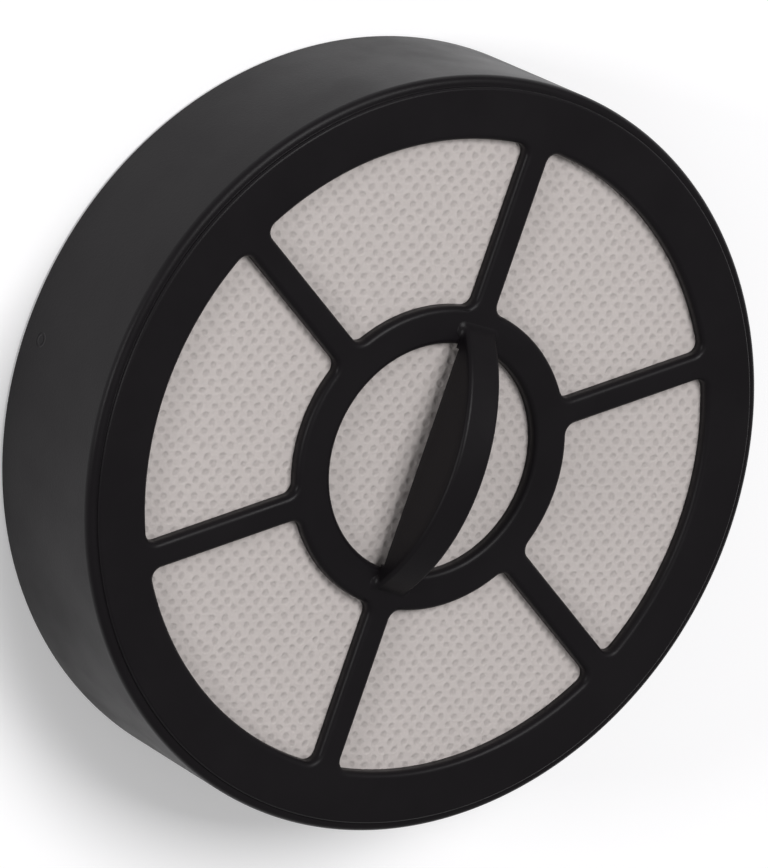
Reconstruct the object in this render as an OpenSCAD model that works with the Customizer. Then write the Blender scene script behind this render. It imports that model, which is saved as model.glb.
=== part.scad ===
// Round vacuum filter cartridge. One moulded cup carries a grille of windows round a
// centre ring and a pull grip across that ring. Behind the grille lie a bonded cover
// sheet and a pleated pack, held apart by glue lines and sealed to the wall by a bead.
// It stands on its open rear rim at z = 0, its axis is Z and the grip runs along X.

/* [Cup] */
// Outside diameter of the cup
cup_d = 130; // [116:1:150]
// Depth from the rear rim to the face of the grille
cup_h = 30; // [27:0.5:40]
// Thickness of the side wall
wall_t = 2; // [1.5:0.1:3]
// Radius of the outer corner between the side wall and the shoulder
shoulder_r = 1.2; // [0.4:0.1:1.8]
// Width of the shoulder round the raised face
shoulder_w = 1.7; // [0.9:0.1:3]
// Height of the face above the shoulder
face_step = 0.7; // [0.4:0.1:1.2]
// Radius along the edge of the raised face
face_edge_r = 0.5; // [0.2:0.1:0.6]
// Bevel on both edges of the rear rim
rim_bevel = 0.4; // [0.2:0.1:0.7]

/* [Grille] */
// Thickness of the grille
grille_t = 2.2; // [1.6:0.1:3]
// Number of windows and of spokes
windows = 6; // [4:2:8]
// Width of the closed rim between the side wall and the windows
rim_w = 10.6; // [7:0.2:14]
// Width of a spoke
spoke_w = 4.6; // [3.6:0.2:7]
// Outside diameter of the centre ring
ring_d = 52.4; // [48:0.4:60]
// Width of the centre ring
ring_w = 6.4; // [5.6:0.2:8]
// Corner radius of a window at the rim
outer_corner_r = 1.8; // [0.8:0.1:3]
// Corner radius of a window at the ring
inner_corner_r = 2; // [0.8:0.1:3]
// Radius along the front edges of the windows and of the ring's bore
edge_r = 1; // [0.4:0.1:1.4]

/* [Grip] */
// Width of the grip, across its two flat sides
grip_w = 6.4; // [5:0.2:9]
// Height of the grip above the face
grip_h = 10.7; // [8:0.1:14]
// Distance from the ring's bore to where the grip's arch meets the face
grip_land = 3.6; // [2.4:0.1:4.4]
// Wall thickness of the grip, which is hollow from behind
grip_wall = 1.6; // [1.2:0.1:2]
// Radius along the edges of the grip's arch
grip_edge_r = 0.7; // [0.3:0.1:1.2]
// Height of the grip's lower edge above the face
grip_lift = 0.5; // [0.2:0.1:1.5]
// Reach of the grip's feet past the wall of the bore
grip_toe = 0.8; // [0.4:0.1:1.6]

/* [Cover sheet] */
// Thickness of the cover sheet
sheet_t = 0.4; // [0.2:0.1:0.8]
// Clearance from the edge of the cover sheet to the side wall
sheet_gap = 0.5; // [0.2:0.1:0.9]

/* [Pleated pack] */
// Height of the pleats, from fold to fold
pleat_h = 20; // [14:0.5:21]
// Distance between neighbouring folds on the same side
pleat_pitch = 5; // [4:0.1:6.5]
// Thickness of the pleated medium
media_t = 0.5; // [0.3:0.05:0.7]
// Bend radius of a fold at the middle of the medium
fold_r = 0.5; // [0.4:0.05:0.7]

/* [Glue] */
// Width of the bead that seals the pack to the side wall
bead_w = 1.5; // [1:0.1:3]
// Number of glue lines across the pleats
spacer_count = 4; // [2:1:5]
// Distance between two glue lines
spacer_pitch = 28; // [18:1:32]
// Width of a glue line
spacer_w = 1.6; // [1:0.1:3]
// Thickness of a glue line on each side of the medium
spacer_t = 0.8; // [0.6:0.1:1.1]

/* [Hidden] */
$fn = 128;

// Overlap of a cutter past the face it cuts through
cut = 1;
// Steps along a quarter round of a window's edge
edge_steps = 5;
// Steps along a window's corner, outer arc and inner arc
corner_steps = 5;
outer_steps = 10;
inner_steps = 5;
// Steps round a fold of the medium
fold_steps = 3;

cup_r = cup_d / 2;
inner_r = cup_r - wall_t;
face_r = cup_r - shoulder_w;
shoulder_z = cup_h - face_step;
back_z = cup_h - grille_t;
window_r = cup_r - rim_w;
ring_r = ring_d / 2;
bore_r = ring_r - ring_w;
window_angle = 360 / windows;

grip_half = bore_r + grip_land;
grip_r = (grip_half * grip_half + grip_h * grip_h) / (2 * grip_h);
grip_z = cup_h + grip_h - grip_r;
foot_x = bore_r - grip_toe;

sheet_z = back_z - sheet_t;
sheet_r = inner_r - sheet_gap;

pack_r = inner_r - bead_w;
pack_top = sheet_z - spacer_t;
pack_low = pack_top - pleat_h;
half_t = media_t / 2;
fold_high = pack_top - half_t - fold_r;
fold_low = pack_low + half_t + fold_r;
fold_run = pleat_pitch / 2;
fold_count = ceil(pack_r / fold_run) + 1;
fold_span = norm([fold_run, fold_high - fold_low]);
// How far the flat side of a pleat leans from upright
lean = acos(2 * fold_r / fold_span) - atan2(fold_high - fold_low, fold_run);

// A point at a radius and an angle round a centre
function polar(r, a, c = [0, 0]) = c + r * [cos(a), sin(a)];

// Points along an arc round a centre, both ends included
function arc(r, a0, a1, steps, c = [0, 0]) =
    [for (i = [0 : steps]) polar(r, a0 + (a1 - a0) * i / steps, c)];

// Centre of a window's corner fillet: it lies at the distance d from the axis and its
// circle of radius r touches the side of the spoke, which runs at half a window's angle
function corner_centre(d, r) =
    let (side = spoke_w / 2 + r, along = sqrt(d * d - side * side), a = window_angle / 2)
    along * [cos(a), sin(a)] + side * [sin(a), -cos(a)];

// Outline of a window centred on X, grown on all sides by g into the grille
function window_outline(g) =
    let (
        a = window_angle / 2,
        co = corner_centre(window_r - outer_corner_r, outer_corner_r),
        ci = corner_centre(ring_r + inner_corner_r, inner_corner_r),
        ao = atan2(co[1], co[0]),
        ai = atan2(ci[1], ci[0]),
        upper = concat(
            arc(outer_corner_r + g, ao, a + 90, corner_steps, co),
            arc(inner_corner_r + g, a + 90, ai + 180, corner_steps, ci)),
        inner = arc(ring_r - g, ai, -ai, inner_steps),
        outer = arc(window_r + g, -ao, ao, outer_steps),
        count = len(upper)
    )
    concat(
        upper,
        [for (i = [1 : inner_steps - 1]) inner[i]],
        [for (i = [1 : count]) [upper[count - i][0], -upper[count - i][1]]],
        [for (i = [1 : outer_steps - 1]) outer[i]]);

// Solid between rings of points that all have the same count
module loft(rings) {
    n = len(rings[0]);
    m = len(rings);
    polyhedron(
        points = [for (r = rings) for (p = r) p],
        faces = concat(
            [[for (i = [0 : n - 1]) i]],
            [[for (i = [0 : n - 1]) n * m - 1 - i]],
            [for (j = [0 : m - 2]) for (i = [0 : n - 1])
                let (a = j * n + i, b = j * n + (i + 1) % n) [a, a + n, b + n, b]]));
}

// Window cutter: straight through the grille, flared by a quarter round at the face
module window_cutter() {
    flare = [for (i = [0 : edge_steps])
        let (a = 90 * i / edge_steps) [edge_r * (1 - cos(a)), cup_h - edge_r + edge_r * sin(a)]];
    steps = concat([[0, back_z - cut]], flare, [[edge_r, cup_h + cut]]);
    loft([for (s = steps) [for (p = window_outline(s[0])) [p[0], p[1], s[1]]]]);
}

// Half section of a disc whose upper edge is rounded
module rounded_half(r, h, edge) {
    square([r - edge, h]);
    square([r, h - edge]);
    translate([r - edge, h - edge]) circle(edge);
}

// Cup wall, shoulder and raised face, closed at the front and open at the rear
module cup_shell() {
    difference() {
        rotate_extrude() {
            rounded_half(cup_r, shoulder_z, shoulder_r);
            rounded_half(face_r, cup_h, face_edge_r);
        }
        translate([0, 0, -cut]) cylinder(h = back_z + cut, r = inner_r);
        // Bevels on the two edges of the rear rim
        rotate_extrude() polygon([
            [0, -cut], [inner_r + rim_bevel + cut, -cut], [inner_r, rim_bevel], [0, rim_bevel]]);
        rotate_extrude() polygon([
            [cup_r - rim_bevel - cut, -cut], [cup_r + cut, -cut],
            [cup_r + cut, rim_bevel + cut], [cup_r, rim_bevel]]);
    }
}

// Bore of the centre ring, rounded at the face
module bore_cutter() {
    rotate_extrude() {
        translate([0, back_z - cut]) square([bore_r, grille_t + 2 * cut]);
        difference() {
            translate([0, cup_h - edge_r]) square([bore_r + edge_r, edge_r + cut]);
            translate([bore_r + edge_r, cup_h - edge_r]) circle(edge_r);
        }
    }
}

// Standing disc with rounded rims, from which the grip's arch is taken
module grip_disc(r, w, edge) {
    translate([0, 0, grip_z]) rotate([90, 0, 0]) rotate_extrude() {
        rounded_half(r, w / 2, edge);
        mirror([0, 1]) rounded_half(r, w / 2, edge);
    }
}

// Pull grip: an arched plate over the bore, hollow from behind, with a foot on the ring
module grip() {
    difference() {
        intersection() {
            grip_disc(grip_r, grip_w, grip_edge_r);
            translate([-ring_r, -grip_w, cup_h - edge_r]) cube([ring_d, 2 * grip_w, 2 * grip_h]);
        }
        translate([-foot_x, -grip_w, back_z]) cube([2 * foot_x, 2 * grip_w, grille_t + grip_lift]);
        intersection() {
            grip_disc(grip_r - grip_wall, grip_w - 2 * grip_wall, grip_edge_r / 2);
            translate([grip_wall - foot_x, -grip_w, back_z])
                cube([2 * (foot_x - grip_wall), 2 * grip_w, 2 * grip_h]);
        }
    }
}

// Moulded cup with its grille and grip, all one piece
module housing() {
    color([0.11, 0.1, 0.11]) union() {
        difference() {
            cup_shell();
            bore_cutter();
            for (i = [0 : windows - 1])
                rotate([0, 0, window_angle * (i + 0.5)]) window_cutter();
        }
        grip();
    }
}

// Bonded fibre sheet that lies against the back of the grille
module cover_sheet() {
    color([0.86, 0.84, 0.83]) translate([0, 0, sheet_z]) cylinder(h = sheet_t, r = sheet_r);
}

// One face of the pleats, offset from the middle of the medium, as [y, z] points. The
// fold with an even number is a high one. An offset past the fold's own radius gives
// the point where the two offset sides of that pleat meet.
function pleat_side(off) = [for (i = [-fold_count : fold_count])
    let (
        high = i % 2 == 0,
        c = [i * fold_run, high ? fold_high : fold_low],
        r = high ? fold_r + off : fold_r - off,
        way = high ? 1 : -1
    )
    each r > 0
        ? [for (p = arc(r, 180 - lean, lean, fold_steps)) c + [p[0], way * p[1]]]
        : [c + [0, way * r / sin(lean)]]];

// Points in the opposite order
function reversed(list) = [for (i = [1 : len(list)]) list[len(list) - i]];

// Slab along X, inside the pack's round outline, from a section of [y, z] points
module pack_slab(section, x, w) {
    intersection() {
        translate([x - w / 2, 0, 0]) rotate([90, 0, 90]) linear_extrude(w) polygon(section);
        translate([0, 0, pack_low - pleat_h]) cylinder(h = 3 * pleat_h, r = pack_r);
    }
}

// Pleated medium, cut round
module pleated_pack() {
    color([0.93, 0.92, 0.9])
        pack_slab(concat(pleat_side(half_t), reversed(pleat_side(-half_t))), 0, cup_d);
}

// Glue lines that hold the pleats apart, on both faces of the medium
module glue_lines() {
    outer = half_t + spacer_t;
    front = concat(pleat_side(outer), reversed(pleat_side(half_t)));
    rear = concat(pleat_side(-half_t), reversed(pleat_side(-outer)));
    color([0.9, 0.87, 0.78]) for (i = [0 : spacer_count - 1]) {
        x = spacer_pitch * (i - (spacer_count - 1) / 2);
        pack_slab(front, x, spacer_w);
        pack_slab(rear, x, spacer_w);
    }
}

// Bead of sealant between the pack and the side wall, with a hollow rear edge
module sealing_bead() {
    color([0.82, 0.79, 0.7]) rotate_extrude() {
        translate([pack_r, pack_low]) square([bead_w, sheet_z - pack_low]);
        difference() {
            translate([pack_r, pack_low - bead_w]) square(bead_w);
            translate([pack_r, pack_low - bead_w]) circle(bead_w);
        }
    }
}

housing();
cover_sheet();
pleated_pack();
glue_lines();
sealing_bead();
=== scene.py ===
import bmesh
import bpy
import numpy as np
from mathutils import Matrix, Vector


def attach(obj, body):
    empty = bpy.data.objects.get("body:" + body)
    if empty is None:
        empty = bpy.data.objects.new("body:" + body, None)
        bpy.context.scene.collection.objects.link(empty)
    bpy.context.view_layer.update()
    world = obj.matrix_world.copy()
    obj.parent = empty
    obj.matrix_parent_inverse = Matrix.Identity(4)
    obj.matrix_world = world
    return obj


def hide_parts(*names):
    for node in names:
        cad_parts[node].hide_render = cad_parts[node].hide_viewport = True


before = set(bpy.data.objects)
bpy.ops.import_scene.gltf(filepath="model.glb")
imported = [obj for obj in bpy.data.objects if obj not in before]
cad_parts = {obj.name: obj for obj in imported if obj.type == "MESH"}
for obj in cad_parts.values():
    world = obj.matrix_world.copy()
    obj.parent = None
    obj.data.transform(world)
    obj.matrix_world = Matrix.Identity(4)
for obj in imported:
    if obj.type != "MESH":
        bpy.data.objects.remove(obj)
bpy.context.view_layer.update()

MM = 0.001

# Sizes of the moulded cup, as in the frame
CUP_R, CUP_H, INNER_R = 65.0, 30.0, 63.0
SHOULDER_Z, SHOULDER_EDGE, SHOULDER_FILLET = 29.3, 1.2, 0.12
FACE_R, FACE_EDGE = 63.3, 0.5
RIM_BEVEL, RIM_SOFT = 0.4, 0.2
BACK_Z = 27.8
WINDOW_R, RING_R, BORE_R = 54.4, 26.2, 19.8
SPOKE_HALF, WINDOW_COUNT = 2.3, 6
RIM_CORNER, RING_CORNER = 1.8, 2.0
EDGE = 1.0
# Sizes of the pull grip: the chord and height of its arch, its section, and the small
# round at the inner corner of its hollow
GRIP_HALF_W, GRIP_H, GRIP_CHORD = 3.2, 10.7, 23.4
GRIP_WALL, GRIP_EDGE, GRIP_LIFT, GRIP_LOW_EDGE = 1.6, 0.7, 0.5, 0.35
HOLLOW_CORNER = 0.3
# The grip's feet: where they reach the ring, how far they run past the chord and under
# the face, the softness of the run-out, and the round and run-in of the flare
GRIP_FOOT_X, FOOT_RUN, FOOT_SUNK, FOOT_SOFT = 19.0, 1.6, 0.04, 0.16
FOOT_ROUND, FLARE_START, FLARE_RUN = 1.1, 0.3, 1.2
# Sizes of the filter behind the grille
SHEET_T, SHEET_R = 0.4, 62.5
PACK_R, PACK_TOP, PACK_LOW = 61.5, 26.6, 6.6
MEDIA_HALF, FOLD_R, FOLD_RUN = 0.25, 0.5, 2.5
GLUE_T, GLUE_W, GLUE_X = 0.8, 1.6, (-42.0, -14.0, 14.0, 42.0)
BEAD_OVERLAP, BEAD_DROP, BEAD_SWELL = 0.4, 1.5, 0.5
# Bond points of the fibre web: their pitch, and the turn of their square pattern
BOND_PITCH, BOND_TURN = 1.95, 57.0
# Front of the fibre web: its depth at a bond point, its rise between bond points, its
# slow waves and their length, and the width of the flat edge
WEB_DEPTH, WEB_RISE, WEB_WAVE, WAVE_LENGTH, WEB_EDGE = 0.16, 0.07, 0.05, 34, 1
# Sideways waves of the pleats
SWAY = 0.16
# Distance of the loops that keep a flat surface flat up to a round
HOLD = 0.04
# Gap between faces that rest on each other
GAP = 0.02
# The round moulding mark on the side wall, and the part of the wall that carries it
MARK_X, MARK_Z, MARK_R, MARK_DEPTH, MARK_SIDE_Y = 0.3, 5.8, 1.0, 0.25, -60.0


# Mesh helpers
def grid_quads(rows, cols, first=0, wrap=False):
    """Quads of a grid with rows * cols points in row order, as an array of indices."""
    i = np.arange(rows - 1)[:, None] * cols
    j = np.arange(cols if wrap else cols - 1)[None, :]
    k = (j + 1) % cols
    quads = np.stack([i + j, i + k, i + cols + k, i + cols + j], -1)
    return first + quads.reshape(-1, 4)


class Shell:
    """Gathers grids of points into one mesh."""

    def __init__(self):
        self.points, self.faces, self.count = [], [], 0

    def grid(self, points, wrap=False):
        """Adds a grid of points, an array of rows by columns by three."""
        rows, cols = points.shape[:2]
        self.points.append(points.reshape(-1, 3))
        self.faces.append(grid_quads(rows, cols, self.count, wrap))
        self.count += rows * cols

    def cap(self, loop):
        """Closes a loop of points by a fan to the loop's middle."""
        middle = loop.mean(0)
        self.grid(np.stack([loop, np.repeat(middle[None], len(loop), 0)]), wrap=True)

    def piece(self, name, slot, material, weld=0.002, replaces=()):
        """Makes the mesh object: points closer than weld become one, faces turn outwards."""
        points = np.concatenate(self.points) * MM
        quads = np.concatenate(self.faces)
        return make_piece(name, points, quads.tolist(), material, weld * MM, replaces)


def make_piece(name, points, faces, material, weld, replaces):
    """A smooth-shaded mesh object at the origin that rides on the part's one body."""
    mesh = bpy.data.meshes.new(name)
    mesh.from_pydata(points.tolist(), [], faces)
    work = bmesh.new()
    work.from_mesh(mesh)
    bmesh.ops.remove_doubles(work, verts=work.verts, dist=weld)
    bmesh.ops.dissolve_degenerate(work, edges=work.edges, dist=weld / 4)
    bmesh.ops.recalc_face_normals(work, faces=work.faces)
    work.to_mesh(mesh)
    work.free()
    mesh.shade_smooth()
    mesh.materials.append(material)
    piece = bpy.data.objects.new(name, mesh)
    bpy.context.scene.collection.objects.link(piece)
    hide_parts(*replaces)
    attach(piece, "root")
    return piece


def polar(radius, degrees):
    """Points at a radius and an angle round the axis: radius times cosine and sine."""
    a = np.radians(degrees)
    return np.stack(np.broadcast_arrays(radius * np.cos(a), radius * np.sin(a)), -1)


def rounded_profile(corners, steps=8):
    """Points of a profile whose corners are rounded. Each corner is (r, z, radius); its arc
    touches both neighbouring lines, with a holding point at most HOLD before and after."""
    at = np.array([c[:2] for c in corners], float)
    points = [at[0]]
    for i in range(1, len(corners) - 1):
        size = corners[i][2]
        before, after = at[i - 1] - at[i], at[i + 1] - at[i]
        before, after = before / np.linalg.norm(before), after / np.linalg.norm(after)
        half = np.arccos(np.clip(before @ after, -1, 1)) / 2
        back = size / np.tan(half)
        middle = (before + after) / np.linalg.norm(before + after)
        centre = at[i] + middle * size / np.sin(half)
        start, end = at[i] + before * back - centre, at[i] + after * back - centre
        t = np.linspace(0, 1, steps + 1)[:, None]
        swing = np.pi - 2 * half
        arc = (np.sin((1 - t) * swing) * start + np.sin(t * swing) * end) / np.sin(swing)
        hold = min(HOLD, size / 2)
        points += [centre + start + before * hold, *(centre + arc), centre + end + after * hold]
    return np.array([*points, at[-1]])


def revolve(profile, degrees):
    """Grid of a profile of (r, z) points turned round the axis to each angle."""
    flat = polar(profile[:, :1], degrees[None, :])
    z = np.broadcast_to(profile[:, 1:2], flat.shape[:2])
    return np.concatenate([flat, z[..., None]], -1)


# Moulded housing
def corner_centre(distance, radius):
    """Centre of a window's corner arc, and its distance along the spoke: it lies at that
    distance from the axis, and its circle touches the side of the spoke."""
    side = SPOKE_HALF + radius
    along = np.sqrt(distance**2 - side**2)
    a = np.radians(180 / WINDOW_COUNT)
    centre = along * np.array([np.cos(a), np.sin(a)]) + side * np.array([np.sin(a), -np.cos(a)])
    return centre, along


def window_columns(rim_r, bore_r, arc_steps=20, side_steps=14, corner_steps=8, ring_steps=12):
    """Columns round one window that is centred on X. Gives the outline's points, its
    outward directions, and for each the point where its column ends: on the circle rim_r,
    on the middle line of the spoke, or on the circle bore_r. A corner's arc ends half on
    the circle and half on the spoke, so its middle column ends where the two meet."""
    turn = 180 / WINDOW_COUNT
    spoke = polar(1.0, turn)
    across = polar(1.0, turn + 90)
    outer, outer_along = corner_centre(WINDOW_R - RIM_CORNER, RIM_CORNER)
    inner, inner_along = corner_centre(RING_R + RING_CORNER, RING_CORNER)
    outer_a = np.degrees(np.arctan2(outer[1], outer[0]))
    inner_a = np.degrees(np.arctan2(inner[1], inner[0]))
    half = corner_steps // 2

    a = np.linspace(0, outer_a, arc_steps, endpoint=False)
    parts = [(polar(WINDOW_R, a), polar(1.0, a), polar(rim_r, a))]
    a = np.linspace(outer_a, turn + 90, corner_steps, endpoint=False)
    ends = np.concatenate([
        polar(rim_r, np.linspace(outer_a, turn, half, endpoint=False)),
        np.linspace(rim_r, outer_along, half, endpoint=False)[:, None] * spoke])
    parts.append((outer + RIM_CORNER * polar(1.0, a), polar(1.0, a), ends))
    t = np.linspace(outer_along, inner_along, side_steps, endpoint=False)[:, None]
    outward = np.repeat(across[None], side_steps, 0)
    parts.append((t * spoke - SPOKE_HALF * across, outward, t * spoke))
    a = np.linspace(turn + 90, inner_a + 180, corner_steps, endpoint=False)
    ends = np.concatenate([
        np.linspace(inner_along, bore_r, half, endpoint=False)[:, None] * spoke,
        polar(bore_r, np.linspace(turn, inner_a, half, endpoint=False))])
    parts.append((inner + RING_CORNER * polar(1.0, a), polar(1.0, a), ends))
    a = np.linspace(inner_a, 0, ring_steps + 1)
    parts.append((polar(RING_R, a), -polar(1.0, a), polar(bore_r, a)))

    upper = [np.concatenate([p[k] for p in parts]) for k in range(3)]
    flip = np.array([1, -1])
    return [np.concatenate([u, u[-2:0:-1] * flip]) for u in upper]


def turned(points, degrees):
    """Points turned round the axis by an angle."""
    a = np.radians(degrees)
    c, s = np.cos(a), np.sin(a)
    return points @ np.array([[c, s, 0], [-s, c, 0], [0, 0, 1]])


def window_front(round_steps=8, flat_steps=4):
    """One window from the back of the grille to the face: up the wall, over a quarter
    round of radius EDGE, and flat across the face to where each column ends."""
    line, out, end = window_columns(FACE_R - FACE_EDGE - HOLD, BORE_R + EDGE + HOLD)
    a = np.linspace(0, np.pi / 2, round_steps + 1)
    grown = np.concatenate([[0, 0], EDGE * (1 - np.cos(a))])
    z = np.concatenate([[BACK_Z, CUP_H - EDGE - HOLD], CUP_H - EDGE + EDGE * np.sin(a)])
    wall = line + grown[:, None, None] * out
    start = line + (EDGE + HOLD) * out
    t = np.linspace(0, 1, flat_steps + 1)[:, None, None]
    flat = start + t * (end - start)
    rows = np.concatenate([wall, flat])
    z = np.concatenate([z, np.full(flat_steps + 1, CUP_H)])
    return np.concatenate([rows, np.broadcast_to(z[:, None, None], (*rows.shape[:2], 1))], -1)


def window_back():
    """The flat back of the grille round one window."""
    line, _, end = window_columns(INNER_R, BORE_R)
    rows = line + np.linspace(0, 1, 3)[:, None, None] * (end - line)
    return np.concatenate([rows, np.full((*rows.shape[:2], 1), BACK_Z)], -1)


def circle_angles(points, radius):
    """Angles, in order, of the columns of all windows that end on a circle."""
    on = np.abs(np.hypot(points[:, 0], points[:, 1]) - radius) < 1e-6
    a = np.degrees(np.arctan2(points[on, 1], points[on, 0]))
    turn = 360 / WINDOW_COUNT
    every = (a[None] + turn * (np.arange(WINDOW_COUNT)[:, None] + 0.5)).ravel() % 360
    return np.unique(every.round(7))


def grip_grid(length_steps=96, foot_steps=22, round_steps=6, side_steps=6, flare_steps=5):
    """The pull grip: a section carried along the arch, which is a circle through the ends
    of the chord and the top. The section goes up one flat side, over the two rounded edges
    of the arch, down the other side and back along the hollow underside. On the ring the
    arch runs out by a soft maximum of its height and the face's, and the sides flare out
    by a concave quarter round, so that the feet grow out of the ring."""
    radius = (GRIP_CHORD**2 + GRIP_H**2) / (2 * GRIP_H)
    middle_z = CUP_H + GRIP_H - radius
    top_r = radius - GRIP_EDGE
    sunk = CUP_H - FOOT_SUNK
    # The first section on the ring follows the last free one at this small angle
    close = 0.0012
    a_end = np.arcsin((GRIP_CHORD + FOOT_RUN) / top_r)
    a_foot = np.arcsin(GRIP_FOOT_X / top_r)
    a_open = np.arcsin((GRIP_FOOT_X - GRIP_WALL) / top_r)
    free = np.linspace(-a_foot, a_foot, length_steps)
    foot = np.linspace(a_foot + close, a_end, foot_steps)
    a = np.concatenate([-foot[::-1], free, foot])
    on_ring = np.abs(a) > a_foot
    hollow = np.abs(a) < a_open
    low = np.where(on_ring, CUP_H - EDGE, CUP_H + GRIP_LIFT)

    def arch(r):
        """Height of the arch at that radius, run out softly into the face."""
        rise = (middle_z + r * np.cos(a) - sunk) / FOOT_SOFT
        return sunk + FOOT_SOFT * np.logaddexp(0, rise)

    x_side, z_side = top_r * np.sin(a), arch(top_r)
    inner_half = GRIP_HALF_W - GRIP_WALL
    cave = np.where(hollow, np.maximum(arch(radius - GRIP_WALL), low), low)
    cave_side = np.where(hollow, cave - HOLLOW_CORNER, low)
    rows = [(x_side, 0, cave), (x_side, -inner_half + HOLLOW_CORNER, cave),
            (x_side, -inner_half, cave_side), (x_side, -inner_half, low)]
    # Low edge: a small convex round over the bore, and points for the flare on the ring
    for q in np.linspace(0, np.pi / 2, flare_steps + 1):
        inset = np.where(on_ring, 0, GRIP_LOW_EDGE * (1 - np.sin(q)))
        z = np.where(on_ring, CUP_H + FOOT_ROUND * (1 - np.cos(q)) - FOOT_SUNK * (q == 0),
                     low + GRIP_LOW_EDGE * (1 - np.cos(q)))
        rows.append((x_side, inset - GRIP_HALF_W, np.minimum(z, z_side)))
    start = rows[-1][2]
    for t in np.linspace(0, 1, side_steps + 1)[1:]:
        rows.append((x_side, -GRIP_HALF_W, start + t * (z_side - start)))
    for e in np.linspace(0, np.pi / 2, round_steps + 1)[1:]:
        r = top_r + GRIP_EDGE * np.sin(e)
        rows.append((r * np.sin(a), GRIP_EDGE * (1 - np.cos(e)) - GRIP_HALF_W, arch(r)))
    rows.append((radius * np.sin(a), GRIP_EDGE + HOLD - GRIP_HALF_W, arch(radius)))
    rows.append((radius * np.sin(a), 0, arch(radius)))
    half = np.stack([np.stack(np.broadcast_arrays(*row), -1) for row in rows])

    x, y, z = half[..., 0], half[..., 1], half[..., 2]
    on_flat = np.clip((np.abs(x) - BORE_R - EDGE + FLARE_START) / FLARE_RUN, 0, 1)
    share = 1 - np.clip((z - CUP_H) / FOOT_ROUND, 0, 1)
    flare = FOOT_ROUND * on_flat * on_flat * (3 - 2 * on_flat) * (1 - np.sqrt(1 - share**2))
    outer = np.clip((-y - inner_half) / GRIP_WALL, 0, 1) * (z > low + GAP / 2)
    half[..., 1] -= flare * outer
    return np.concatenate([half, half[-2:0:-1] * np.array([1, -1, 1])])


def make_housing(material):
    """The cup, grille and grip as one piece."""
    shell = Shell()
    front, back = window_front(), window_back()
    turn = 360 / WINDOW_COUNT
    for i in range(WINDOW_COUNT):
        shell.grid(turned(front, turn * (i + 0.5)), wrap=True)
        shell.grid(turned(back, turn * (i + 0.5)), wrap=True)
    face_edge = FACE_R - FACE_EDGE - HOLD
    angles = circle_angles(front[-1, :, :2], face_edge)
    wall = [(face_edge, CUP_H, 0), (FACE_R, CUP_H, FACE_EDGE),
            (FACE_R, SHOULDER_Z, SHOULDER_FILLET), (CUP_R, SHOULDER_Z, SHOULDER_EDGE),
            (CUP_R, RIM_BEVEL, RIM_SOFT), (CUP_R - RIM_BEVEL, 0, RIM_SOFT),
            (INNER_R + RIM_BEVEL, 0, RIM_SOFT), (INNER_R, RIM_BEVEL, RIM_SOFT),
            (INNER_R, BACK_Z, 0)]
    shell.grid(revolve(rounded_profile(wall), angles), wrap=True)
    bore_edge = BORE_R + EDGE + HOLD
    angles = circle_angles(front[-1, :, :2], bore_edge)
    bore = [(bore_edge, CUP_H, 0), (BORE_R, CUP_H, EDGE), (BORE_R, BACK_Z, 0)]
    shell.grid(revolve(rounded_profile(bore), angles), wrap=True)
    grip = grip_grid()
    shell.grid(grip.transpose(1, 0, 2), wrap=True)
    for end in (grip[:, 0], grip[:, -1]):
        shell.cap(end)
    return shell.piece("filter_housing", "black_plastic", material, replaces=["housing"])


# Filter materials
def smooth_noise(points, size, seed, octaves=3, waves=5):
    """Soft waves from about -1 to 1: a sum of sines of random directions and phases whose
    length is about size, halved at each octave."""
    draw = np.random.default_rng(seed)
    total, most = np.zeros(points.shape[:-1]), 0.0
    for k in range(octaves):
        for _ in range(waves):
            a, phase = draw.uniform(0, 2 * np.pi, 2)
            way = np.array([np.cos(a), np.sin(a)]) * draw.uniform(0.7, 1.3)
            total += np.sin(2 * np.pi * (points[..., :2] @ way) * 2**k / size + phase) / 2**k
        most += waves / 2**k
    return total / most * 2


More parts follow.
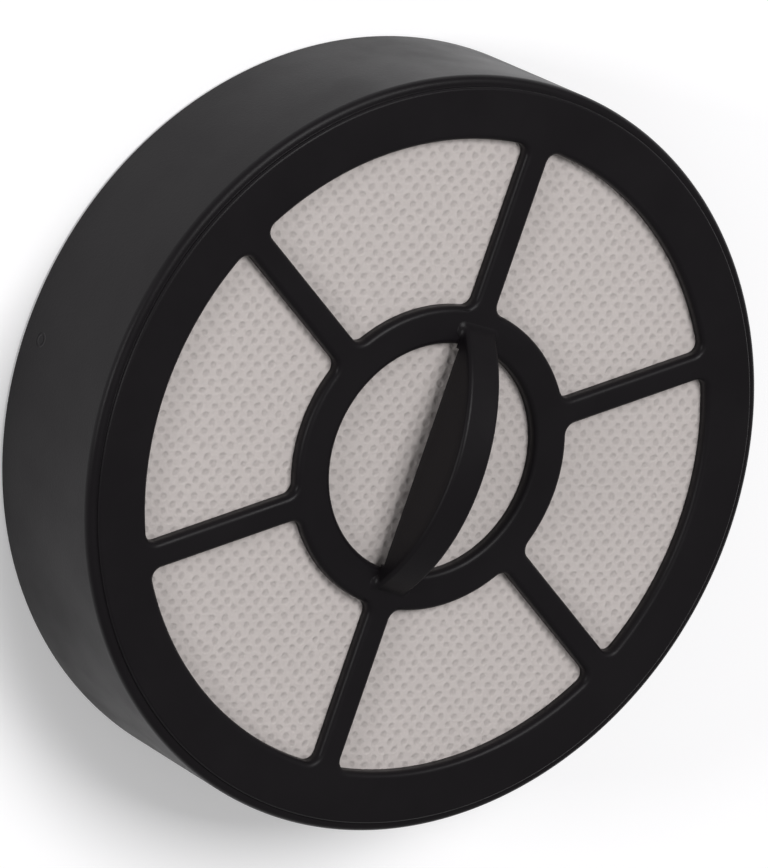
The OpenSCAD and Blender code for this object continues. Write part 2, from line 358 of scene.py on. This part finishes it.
def make_cover_sheet(material):
    """The fibre web: a square grid along the bond pattern, drawn in to a circle at its
    edge. Its front is low at each bond point, which is every fourth point both ways, and
    raised at the others, with slow waves; its back is plain."""
    cells = 4
    step = BOND_PITCH / cells
    count = int(np.ceil(SHEET_R / step)) + 1
    n = np.arange(-count, count + 1)
    u, v = np.meshgrid(n, n, indexing="ij")
    a = np.radians(BOND_TURN)
    at = np.stack([u * np.cos(a) - v * np.sin(a), u * np.sin(a) + v * np.cos(a)], -1) * step
    r = np.hypot(at[..., 0], at[..., 1])
    inside = r < SHEET_R
    quads = grid_quads(len(n), len(n))
    quads = quads[inside.ravel()[quads].any(1)]
    at *= np.minimum(1, SHEET_R / np.maximum(r, 1e-6))[..., None]
    raised = 1 - ((u % cells == 0) & (v % cells == 0))
    wave = smooth_noise(at, WAVE_LENGTH, seed=5)
    z = BACK_Z - WEB_DEPTH + WEB_RISE * raised + WEB_WAVE * wave
    z = np.where(r > SHEET_R - WEB_EDGE, BACK_Z - GAP, np.minimum(z, BACK_Z - GAP / 2))
    points = np.concatenate([at, z[..., None]], -1).reshape(-1, 3)
    used, quads = np.unique(quads, return_inverse=True)
    quads = quads.reshape(-1, 4)
    points = points[used]
    # The rim is made of the edges that only one quad uses
    edges = np.concatenate([quads[:, [k, (k + 1) % 4]] for k in range(4)])
    _, place, uses = np.unique(np.sort(edges, 1), axis=0, return_index=True, return_counts=True)
    rim = edges[place[uses == 1]]
    ring, rim_low = np.unique(rim, return_inverse=True)
    rim_low = rim_low.reshape(-1, 2) + len(points)
    low = points[ring] * [1, 1, 0] + [0, 0, BACK_Z - SHEET_T]
    centre = len(points) + len(low)
    points = np.concatenate([points, low, [[0, 0, BACK_Z - SHEET_T]]])
    walls = np.stack([rim[:, 1], rim[:, 0], rim_low[:, 0], rim_low[:, 1]], -1)
    fans = np.stack([rim_low[:, 1], rim_low[:, 0], np.full(len(rim), centre)], -1)
    faces = [*quads.tolist(), *walls.tolist(), *fans.tolist()]
    piece = make_piece("cover_web", points * MM, faces, material,
                       0.005 * MM, ["cover_sheet"])
    return piece


def fold_path(fold_steps=6, side_steps=4):
    """Middle line of the pleated medium in the y-z plane: half circles at the folds, high
    and low in turn, joined by straight leaning sides. Gives points, unit normals, and
    the y of the folds on either side of each point."""
    high, low = PACK_TOP - MEDIA_HALF - FOLD_R, PACK_LOW + MEDIA_HALF + FOLD_R
    span = np.hypot(FOLD_RUN, high - low)
    lean = np.arccos(2 * FOLD_R / span) - np.arctan2(high - low, FOLD_RUN)
    count = int(PACK_R // FOLD_RUN)
    i = np.arange(-count, count + 1)
    way = np.where(i % 2 == 0, 1, -1)[:, None]
    a = np.linspace(np.pi - lean, lean, fold_steps + 1)[None]
    normal = np.stack([np.cos(a) + 0 * way, way * np.sin(a)], -1)
    centre = np.stack([i * FOLD_RUN, np.where(i % 2 == 0, high, low)], -1)[:, None]
    arc = centre + FOLD_R * normal
    normal = normal * way[..., None]
    t = np.linspace(0, 1, side_steps + 2)[1:-1, None]
    side = arc[:-1, -1:] + t[None] * (arc[1:, :1] - arc[:-1, -1:])
    side_normal = np.repeat(normal[:-1, -1:], side_steps, 1)
    half = (fold_steps + 1) // 2
    middle = fold_steps + 1 - 2 * half
    points, normals, bounds = [], [], []
    for k, y in enumerate(i * FOLD_RUN):
        points.append(arc[k])
        normals.append(normal[k])
        bounds += [(y - FOLD_RUN, y)] * half
        bounds += [(y - FOLD_RUN, y + FOLD_RUN)] * middle
        bounds += [(y, y + FOLD_RUN)] * half
        if k < len(i) - 1:
            points.append(side[k])
            normals.append(side_normal[k])
            bounds += [(y, y + FOLD_RUN)] * side_steps
    return np.concatenate(points), np.concatenate(normals), np.array(bounds, float)


def half_chord(y, radius):
    """Half the length of a chord of a circle, at the distance y from its middle."""
    return np.sqrt(np.maximum(radius**2 - y**2, 0.0))


def pleat_sway(x, y):
    """Small sideways waves of the folds, so that no two pleats are quite alike: a long
    wave whose phase changes from pleat to pleat, and a short one half as high."""
    long_wave = np.sin(x / 11 + 2.1 * np.sin(y / 3.7))
    short_wave = np.sin(x / 4.3 + y)
    return SWAY * long_wave + SWAY / 2 * short_wave


def make_pleats(material, columns=45):
    """The pleated medium: its folded section carried along X as far as the round outline
    lets each fold run, with both faces and the cut ends closed. The sway dies out at the
    ends of each fold."""
    end_margin, inset = 0.6, 0.05
    path, normal, _ = fold_path()
    keep = np.abs(path[:, 0]) < PACK_R - end_margin
    path, normal = path[keep], normal[keep]
    v = np.linspace(-1, 1, columns)[None, :]
    sides = []
    for way in (1, -1):
        y, z = (path + way * MEDIA_HALF * normal).T
        x = v * half_chord(np.clip(y, -PACK_R, PACK_R), PACK_R - inset)[:, None]
        sway = pleat_sway(x, y[:, None]) * (1 - np.abs(v) ** 6)
        sides.append(np.stack([x, y[:, None] + sway, z[:, None] + 0 * x], -1))
    shell = Shell()
    shell.grid(np.concatenate([sides[0], sides[1][::-1]]).transpose(1, 0, 2), wrap=True)
    for k in (0, -1):
        shell.grid(np.stack([sides[0][:, k], sides[1][:, k]]))
    piece = shell.piece("pleated_medium", "filter_paper", material, replaces=["pleated_pack"])
    return piece


def make_glue_lines(material, round_steps=6):
    """The glue lines: a rounded ridge carried along both faces of the medium. In a fold
    the ridge stops at the fold's middle plane, as glue does that meets itself. Its height
    and width swell, and its line wanders, by slow sines along the path."""
    end_margin, sunk, lower, roundness = 0.4, 0.03, 0.05, 0.7
    path, normal, bounds = fold_path()
    t = np.linspace(0, np.pi, round_steps + 1)[None, :]
    shell = Shell()
    for line in GLUE_X:
        reach = np.abs(path[:, 0]) < half_chord(np.abs(line) + GLUE_W, PACK_R) - end_margin
        p, n, b = path[reach], normal[reach], bounds[reach]
        run = np.arange(len(p))[:, None]
        size = 1 + 0.14 * np.sin(run * 0.37 + line) + 0.08 * np.sin(run * 0.11)
        height = (GLUE_T - lower) * np.sin(t) ** roundness * np.minimum(size, 1)
        width = GLUE_W / 2 * np.cos(t) * (0.85 + 0.15 * size)
        for way in (1, -1):
            off = way * (MEDIA_HALF - sunk + height)
            x = line + width + 0.1 * np.sin(run * 0.21 + 2 * line)
            y = np.clip(p[:, :1] + off * n[:, :1], b[:, :1] + GAP / 2, b[:, 1:] - GAP / 2)
            z = np.clip(p[:, 1:] + off * n[:, 1:], PACK_LOW - GLUE_T + GAP, PACK_TOP + GLUE_T - GAP)
            ridge = np.stack([x, y + pleat_sway(x, y), z + 0 * x], -1)
            shell.grid(ridge, wrap=True)
            for end in (ridge[0], ridge[-1]):
                shell.cap(end)
    return shell.piece("glue_ridges", "hot_glue", material, weld=0.0005, replaces=["glue_lines"])


def make_sealing_bead(material, turn_steps=240, curve_steps=8):
    """The sealant between the pack and the wall: a band turned round the axis. Its low
    edge is a hollow curve, higher at the pack, and swells and thins a little."""
    angles = np.linspace(0, 360, turn_steps + 1)[:-1]
    s = np.linspace(0, 1, curve_steps + 1)
    wall_r, top = INNER_R - GAP, BACK_Z - SHEET_T - GAP
    curve = np.stack([PACK_R + (wall_r - PACK_R) * s, PACK_LOW - BEAD_DROP * s**2.2], -1)
    pack_side = [[PACK_R, top], [PACK_R, PACK_LOW + BEAD_OVERLAP]]
    band = revolve(np.concatenate([pack_side, curve, [[wall_r, top]]]), angles)
    a = np.radians(angles)
    swell = 0.5 + 0.3 * np.sin(5 * a + 1) + 0.2 * np.sin(13 * a) + 0.12 * np.sin(29 * a + 2)
    rows = slice(len(pack_side), len(pack_side) + len(s))
    band[rows, :, 2] += (BEAD_SWELL * swell)[None, :] * (s[:, None] * 0.9 + 0.1)
    shell = Shell()
    shell.grid(np.concatenate([band, band[:1]]), wrap=True)
    return shell.piece("seal_bead", "hot_glue", material, replaces=["sealing_bead"])


# Materials
def node_group(name, inputs, outputs):
    """An empty shader node group with named sockets; each is (name, kind, default)."""
    group = bpy.data.node_groups.new(name, "ShaderNodeTree")
    for direction, sockets in (("INPUT", inputs), ("OUTPUT", outputs)):
        for label, kind, default in sockets:
            socket = group.interface.new_socket(label, in_out=direction,
                                                socket_type="NodeSocket" + kind)
            if default is not None:
                socket.default_value = default
    return group, group.nodes.new("NodeGroupInput"), group.nodes.new("NodeGroupOutput")


class Tree:
    """Adds nodes to a tree and links them in one call each."""

    def __init__(self, tree):
        self.tree = tree

    def add(self, kind, settings=None, **sockets):
        """A node; sockets are named with spaces as underscores, or in0, in1 by place."""
        node = self.tree.nodes.new("ShaderNode" + kind)
        for key, value in (settings or {}).items():
            setattr(node, key, value)
        for key, value in sockets.items():
            by_place = key[:2] == "in" and key[2:].isdigit()
            place = int(key[2:]) if by_place else key.replace("_", " ")
            self.put(value, node.inputs[place])
        return node

    def put(self, value, socket):
        """Links an output to the socket, or sets the socket's own value."""
        if isinstance(value, bpy.types.NodeSocket):
            self.tree.links.new(value, socket)
        else:
            socket.default_value = value

    def math(self, operation, a, b=0.0):
        """The result of a Math node."""
        return self.add("Math", {"operation": operation}, in0=a, in1=b).outputs[0]

    def spread(self, value, low, high, to_low=0.0, to_high=1.0):
        """A value mapped smoothly from one range to another."""
        return self.add("MapRange", {"interpolation_type": "SMOOTHSTEP"}, Value=value,
                        From_Min=low, From_Max=high, To_Min=to_low, To_Max=to_high).outputs[0]

    def blend(self, share, a, b):
        """The colour result of a Mix node."""
        node = self.add("Mix", {"data_type": "RGBA"})
        for value, place in ((share, 0), (a, 6), (b, 7)):
            self.put(value, node.inputs[place])
        return node.outputs[2]


def grain_group():
    """Fine grain at two sizes: a height from 0 to 1, and soft blotches from 0 to 1."""
    group, taken, given = node_group(
        "moulded_grain",
        [("Place", "Vector", None), ("Fineness", "Float", 3.0), ("Blotches", "Float", 0.1)],
        [("Height", "Float", None), ("Blotch", "Float", None)])
    t = Tree(group)
    fine = t.add("TexNoise", Vector=taken.outputs["Place"], Scale=taken.outputs["Fineness"],
                 Detail=3.0, Roughness=0.6).outputs[0]
    soft = t.add("TexNoise", Vector=taken.outputs["Place"], Scale=taken.outputs["Blotches"],
                 Detail=4.0, Roughness=0.55).outputs[0]
    t.put(fine, given.inputs["Height"])
    t.put(soft, given.inputs["Blotch"])
    return group


def new_material(name):
    """A material with a Principled shader; gives its tree and Object coordinates in
    millimetres."""
    material = bpy.data.materials.new(name)
    material.use_nodes = True
    t = Tree(material.node_tree)
    shader = material.node_tree.nodes["Principled BSDF"]
    at = t.add("TexCoord").outputs["Object"]
    place = t.add("VectorMath", {"operation": "SCALE"}, Vector=at, Scale=1 / MM).outputs[0]
    return material, t, shader, place


def use_group(t, group, **sockets):
    """Places a node group in a tree with its own values."""
    node = t.tree.nodes.new("ShaderNodeGroup")
    node.node_tree = group
    for key, value in sockets.items():
        t.put(value, node.inputs[key])
    return node


def add_bump(t, shader, strength, distance, height):
    """Gives the shader a normal that is bumped by a height."""
    bump = t.add("Bump", Strength=strength, Distance=distance, Height=height)
    t.put(bump.outputs[0], shader.inputs["Normal"])


def moulding_mark(t, place):
    """A ring-shaped mask, from 0 to 1, round the moulding mark's place on the wall."""
    x, y, z = t.add("SeparateXYZ", Vector=place).outputs
    across = t.math("POWER", t.math("SUBTRACT", x, MARK_X), 2.0)
    up = t.math("POWER", t.math("SUBTRACT", z, MARK_Z), 2.0)
    away = t.math("SQRT", t.math("ADD", across, up))
    from_ring = t.math("ABSOLUTE", t.math("SUBTRACT", away, MARK_R))
    ring = t.spread(from_ring, 0.05, 0.35, 1.0, 0.0)
    return t.math("MULTIPLY", ring, t.math("LESS_THAN", y, MARK_SIDE_Y))


def plastic_material(grain):
    """Black moulded plastic: near black, satin, with fine grain and a round moulding mark
    low on the side wall."""
    material, t, shader, place = new_material("black_moulded_plastic")
    marks = use_group(t, grain, Place=place, Fineness=2.2, Blotches=0.06)
    black, worn = (0.0062, 0.0052, 0.0062, 1), (0.008, 0.0068, 0.008, 1)
    t.put(t.blend(marks.outputs["Blotch"], black, worn), shader.inputs["Base Color"])
    rough = t.spread(marks.outputs["Blotch"], 0.3, 0.7, 0.34, 0.44)
    t.put(rough, shader.inputs["Roughness"])
    shader.inputs["Specular IOR Level"].default_value = 0.12
    groove = t.math("MULTIPLY", moulding_mark(t, place), MARK_DEPTH)
    height = t.math("SUBTRACT", t.math("MULTIPLY", marks.outputs["Height"], 0.04), groove)
    add_bump(t, shader, 0.5, 0.001, height)
    return material


def pressed_dots(t, place):
    """A mask of the web's bond points, from 0 to 1: round dots on a square pattern whose
    place is warped a little by soft noise."""
    laid = t.add("Mapping", {"vector_type": "TEXTURE"}, Vector=place,
                 Rotation=(0, 0, np.radians(BOND_TURN)), Scale=(BOND_PITCH,) * 3).outputs[0]
    warp = t.add("TexNoise", {"noise_dimensions": "2D"}, Vector=laid, Scale=0.55,
                 Detail=2.0).outputs["Color"]
    warp = t.add("VectorMath", {"operation": "SUBTRACT"}, in0=warp, in1=(0.5, 0.5, 0.5)).outputs[0]
    warp = t.add("VectorMath", {"operation": "SCALE"}, Vector=warp, Scale=0.45).outputs[0]
    laid = t.add("VectorMath", {"operation": "ADD"}, in0=laid, in1=warp).outputs[0]
    laid = t.add("VectorMath", {"operation": "ADD"}, in0=laid, in1=(0.5, 0.5, 0)).outputs[0]
    away = t.add("TexVoronoi", {"voronoi_dimensions": "2D"}, Vector=laid, Scale=1.0,
                 Randomness=0.18).outputs["Distance"]
    return t.spread(away, 0.12, 0.42, 1.0, 0.0)


def web_material(grain):
    """Point-bonded fibre web: pressed dots on a square pattern, pillows between them, and
    fine fibres laid at random."""
    material, t, shader, place = new_material("fibre_web")
    pressed = pressed_dots(t, place)
    marks = use_group(t, grain, Place=place, Fineness=1.6, Blotches=0.12)
    strands = t.add("TexNoise", {"noise_dimensions": "2D"}, Vector=place, Scale=5.0,
                    Detail=3.0, Roughness=0.7, Distortion=2.5).outputs[0]
    pale, deep = (0.56, 0.515, 0.5, 1), (0.40, 0.365, 0.355, 1)
    colour = t.blend(t.math("MULTIPLY", pressed, 0.55), pale, deep)
    felted = t.spread(marks.outputs["Height"], 0.25, 0.75, 0.0, 0.14)
    t.put(t.blend(felted, colour, deep), shader.inputs["Base Color"])
    shader.inputs["Roughness"].default_value = 0.85
    shader.inputs["Specular IOR Level"].default_value = 0.2
    pillows = t.math("MULTIPLY", t.math("SUBTRACT", 1.0, pressed), 0.16)
    fibres = t.math("ADD", t.math("MULTIPLY", marks.outputs["Height"], 0.12),
                    t.math("MULTIPLY", strands, 0.06))
    add_bump(t, shader, 1.0, 0.001, t.math("ADD", pillows, fibres))
    return material


def paper_material(grain):
    """Filter paper: off-white, dull, with felted fibres."""
    material, t, shader, place = new_material("pleated_paper")
    marks = use_group(t, grain, Place=place, Fineness=2.5, Blotches=0.15)
    colour = t.blend(marks.outputs["Blotch"], (0.66, 0.64, 0.59, 1), (0.74, 0.725, 0.69, 1))
    t.put(colour, shader.inputs["Base Color"])
    shader.inputs["Roughness"].default_value = 0.9
    shader.inputs["Specular IOR Level"].default_value = 0.15
    add_bump(t, shader, 0.5, 0.0004, marks.outputs["Height"])
    return material


def glue_material(grain):
    """Set hot glue: ivory, smooth and a little shiny."""
    material, t, shader, place = new_material("set_glue")
    marks = use_group(t, grain, Place=place, Fineness=0.8, Blotches=0.2)
    colour = t.blend(marks.outputs["Blotch"], (0.62, 0.56, 0.43, 1), (0.72, 0.67, 0.54, 1))
    t.put(colour, shader.inputs["Base Color"])
    rough = t.spread(marks.outputs["Height"], 0.3, 0.7, 0.28, 0.42)
    t.put(rough, shader.inputs["Roughness"])
    add_bump(t, shader, 0.3, 0.0005, marks.outputs["Height"])
    return material


# The stage
def make_floor(radius=4.0, sides=96, drop=0.0002, glow=0.2):
    """A wide pale floor. What the camera and mirrors see of it has a little light of its
    own, so that it reads as white and keeps the object's shadow."""
    angles = np.linspace(0, 360, sides + 1)[:-1]
    rim = np.concatenate([polar(radius, angles), np.full((sides, 1), -drop)], -1)
    mesh = bpy.data.meshes.new("floor")
    mesh.from_pydata(rim.tolist(), [], [list(range(sides))])
    material = bpy.data.materials.new("pale_floor")
    material.use_nodes = True
    t = Tree(material.node_tree)
    shader = material.node_tree.nodes["Principled BSDF"]
    shader.inputs["Base Color"].default_value = (0.86, 0.855, 0.865, 1)
    shader.inputs["Roughness"].default_value = 0.9
    shader.inputs["Specular IOR Level"].default_value = 0.0
    shader.inputs["Emission Color"].default_value = (1, 1, 1, 1)
    rays = t.add("LightPath").outputs
    mirrored = t.math("MAXIMUM", rays["Is Glossy Ray"], rays["Is Transmission Ray"])
    seen = t.math("MAXIMUM", rays["Is Camera Ray"], mirrored)
    t.put(t.math("MULTIPLY", seen, glow), shader.inputs["Emission Strength"])
    mesh.materials.append(material)
    floor = bpy.data.objects.new("floor", mesh)
    bpy.context.scene.collection.objects.link(floor)


def make_world(level):
    """Even white light of that level from all round; the camera sees it as plain white."""
    world = bpy.data.worlds.new("studio")
    bpy.context.scene.world = world
    world.use_nodes = True
    t = Tree(world.node_tree)
    back = world.node_tree.nodes["Background"]
    back.inputs["Color"].default_value = (1, 1, 1, 1)
    rays = t.add("LightPath")
    more = t.math("MULTIPLY", rays.outputs["Is Camera Ray"], 1 - level)
    t.put(t.math("ADD", level, more), back.inputs["Strength"])


def make_lamp(name, place, size, power):
    """A square white area lamp at a place in metres that faces the cup."""
    aim = (0, 0, 0.02)
    lamp = bpy.data.lights.new(name, "AREA")
    lamp.shape, lamp.size, lamp.energy = "SQUARE", size, power
    holder = bpy.data.objects.new(name, lamp)
    holder.location = place
    holder.rotation_euler = (Vector(aim) - Vector(place)).to_track_quat("-Z", "Y").to_euler()
    bpy.context.scene.collection.objects.link(holder)


def make_camera():
    """The camera at the photograph's viewing angle: its right, up and back directions,
    its place in metres and its lens."""
    right = (-0.32382, 0.79001, 0.52060)
    up = (-0.93977, -0.20490, -0.27360)
    back = (-0.10948, -0.57784, 0.80878)
    place = (-0.12461, -0.65774, 0.93473)
    camera = bpy.data.objects.new("camera", bpy.data.cameras.new("camera"))
    turn = Matrix((right, up, back)).transposed().to_4x4()
    camera.matrix_world = Matrix.Translation(place) @ turn
    camera.data.sensor_width, camera.data.lens = 36.0, 282.525
    camera.data.clip_start, camera.data.clip_end = 0.05, 20.0
    bpy.context.scene.collection.objects.link(camera)
    bpy.context.scene.camera = camera


grain = grain_group()
plastic, web = plastic_material(grain), web_material(grain)
paper, glue = paper_material(grain), glue_material(grain)
make_housing(plastic)
make_cover_sheet(web)
make_pleats(paper)
make_glue_lines(glue)
make_sealing_bead(glue)

make_floor()
make_world(0.32)
make_lamp("overhead", (-0.68, 0.0, 1.34), size=0.7, power=16)
make_lamp("low_front", (0.15, -1.38, 0.54), size=0.35, power=6)
make_camera()
bpy.context.scene.view_settings.view_transform = "Standard"
